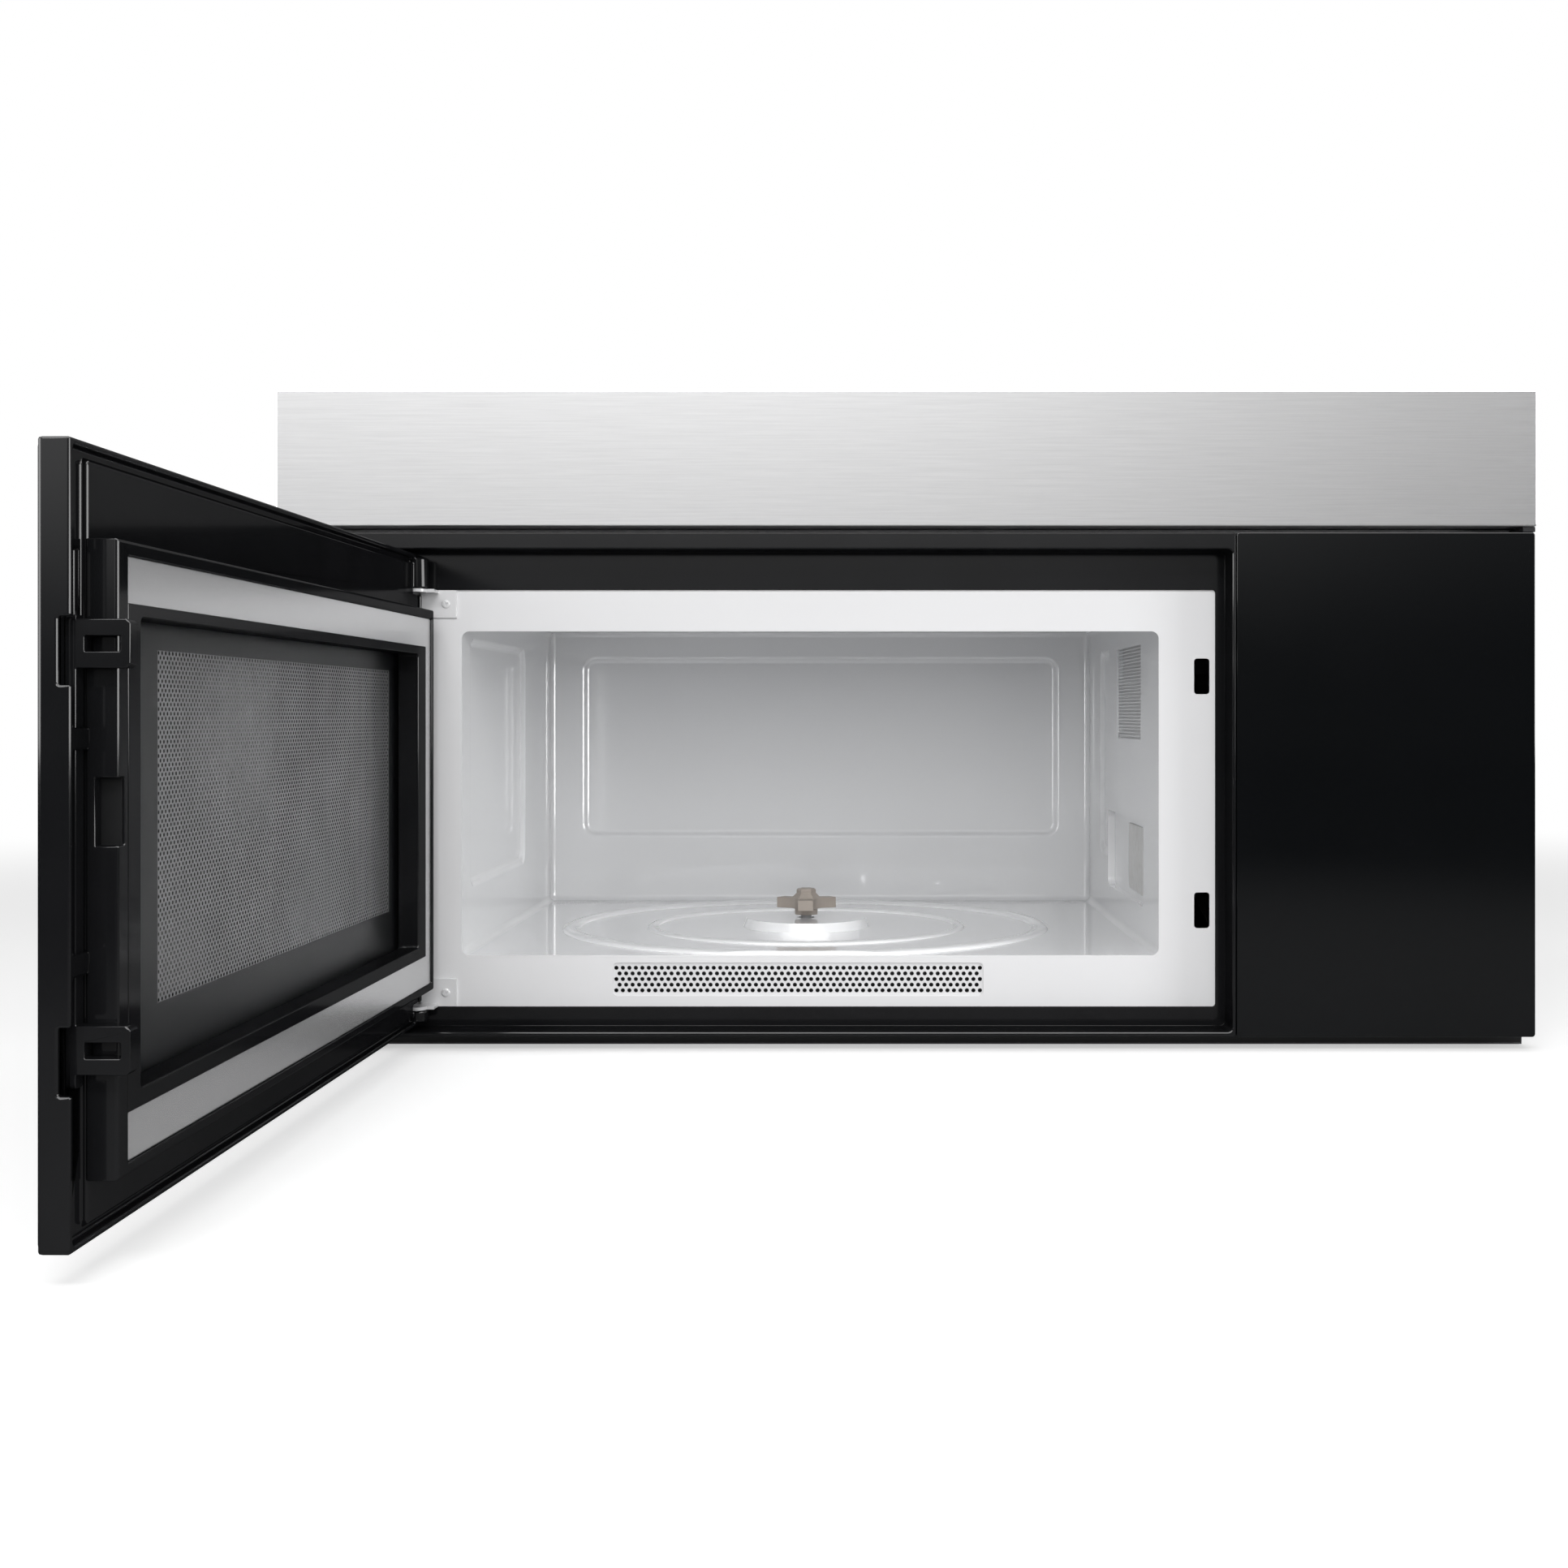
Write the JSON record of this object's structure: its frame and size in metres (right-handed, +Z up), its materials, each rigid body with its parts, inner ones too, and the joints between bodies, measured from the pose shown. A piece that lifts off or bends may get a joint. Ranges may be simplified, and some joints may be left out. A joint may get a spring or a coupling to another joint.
{
  "type": "over the range microwave",
  "caption": "Microwave oven that hangs over a cooking range, with a side-hinged door open at a right angle, steel top band and plain control panel.",
  "frame": {"origin": "middle of the rear wall face, level with the underside of the case", "axes": "+X to the right as seen from the front, +Y back towards the wall, +Z up"},
  "size_m": [0.759, 0.8789, 0.42],
  "materials": {
    "steel_band": "fine horizontal brushing, satin",
    "black_plastic": "gloss black moulding",
    "satin_black_plastic": "satin black moulding",
    "grey_plastic": "matte",
    "control_glass": "opaque black glass, polished",
    "door_glass": "black tinted glass, polished",
    "clear_glass": "clear, polished",
    "enamel_white": "light grey-white enamel, satin",
    "enamel_cavity": "light grey-white oven enamel, semi-gloss",
    "painted_case": "dark grey powder coat",
    "zinc_steel": "zinc-plated, dull",
    "silver_panel": "silver-grey painted steel",
    "taupe_plastic": "matte",
    "core_steel": "laminated, varnished",
    "copper": "enamelled winding wire",
    "green_board": "solder resist",
    "aluminium": "mill finish",
    "mica": "mica sheet, dull",
    "rubber": "matte",
    "filter_mesh": "woven mesh in a frame"
  },
  "bodies": {
    "cabinet": {"top_fascia": "steel_band", "fascia_carrier": "satin_black_plastic", "front_frame": "black_plastic", "control_housing": "satin_black_plastic", "control_glass": "control_glass", "control_board": "green_board", "board_components": "satin_black_plastic", "front_plate": "enamel_white", "front_vent_grille": "enamel_white", "cavity_shell": "enamel_cavity", "waveguide_cover": "mica", "waveguide": "zinc_steel", "turntable_motor": "zinc_steel", "outer_case": "painted_case", "rear_plate": "zinc_steel", "base_plate": "painted_case", "grease_filter_left": "filter_mesh", "grease_filter_right": "filter_mesh", "cooktop_lamp_lens": "clear_glass", "cooktop_lamp_housing": "zinc_steel", "cooktop_lamp_bulbs": "clear_glass", "cord_grommet": "rubber", "hinge_pins": "zinc_steel", "hinge_bracket_upper": "zinc_steel", "hinge_bracket_lower": "zinc_steel", "latch_bracket": "grey_plastic", "interlock_switches": "satin_black_plastic", "magnetron": "zinc_steel", "transformer_core": "core_steel", "transformer_windings": "copper", "hv_capacitor": "aluminium", "component_shelf": "zinc_steel", "fan_shroud": "grey_plastic", "fan_motor": "core_steel", "blower_scroll_left": "zinc_steel", "blower_scroll_right": "zinc_steel", "blower_motor": "zinc_steel", "exhaust_collar": "zinc_steel", "cavity_lamp_holder": "zinc_steel", "cavity_lamp": "clear_glass"},
    "door": {"door_outer_frame": "black_plastic", "door_outer_glass": "door_glass", "door_screen_panel": "silver_panel", "door_inner_pane": "clear_glass", "door_choke_cover": "satin_black_plastic", "door_window_bezel": "satin_black_plastic"},
    "latch": {"latch_lever": "satin_black_plastic"},
    "turntable": {"turntable_shaft": "grey_plastic", "turntable_coupler": "taupe_plastic"},
    "blower": {"blower_shaft": "zinc_steel", "blower_wheel_left": "satin_black_plastic", "blower_wheel_right": "satin_black_plastic"},
    "cooling_fan": {"fan_impeller": "satin_black_plastic"},
    "damper": {"damper_flap": "zinc_steel"}
  },
  "joints": [
    {"name": "door_hinge", "type": "hinge", "parent": "cabinet", "child": "door", "pos_m": [-0.297, -0.388, 0.157], "axis": [0, 0, 1], "range_deg": [-9, 91]},
    {"name": "latch_slide", "type": "slide", "parent": "door", "child": "latch", "axis": [0, 0, -1], "range_m": [0, 0.0035], "stiffness_N_per_m": 400, "springref_m": -0.002},
    {"name": "turntable_spin", "type": "hinge", "parent": "cabinet", "child": "turntable", "pos_m": [-0.065, -0.211, 0.06], "axis": [0, 0, 1], "continuous": true},
    {"name": "blower_spin", "type": "hinge", "parent": "cabinet", "child": "blower", "pos_m": [0, -0.0944, 0.336], "axis": [1, 0, 0], "continuous": true},
    {"name": "fan_spin", "type": "hinge", "parent": "cabinet", "child": "cooling_fan", "pos_m": [0.258, -0.07, 0.15], "axis": [0, 1, 0], "continuous": true},
    {"name": "damper_swing", "type": "hinge", "parent": "cabinet", "child": "damper", "pos_m": [0, -0.0444, 0.404], "axis": [-1, 0, 0], "range_deg": [0, 80]}
  ]
}
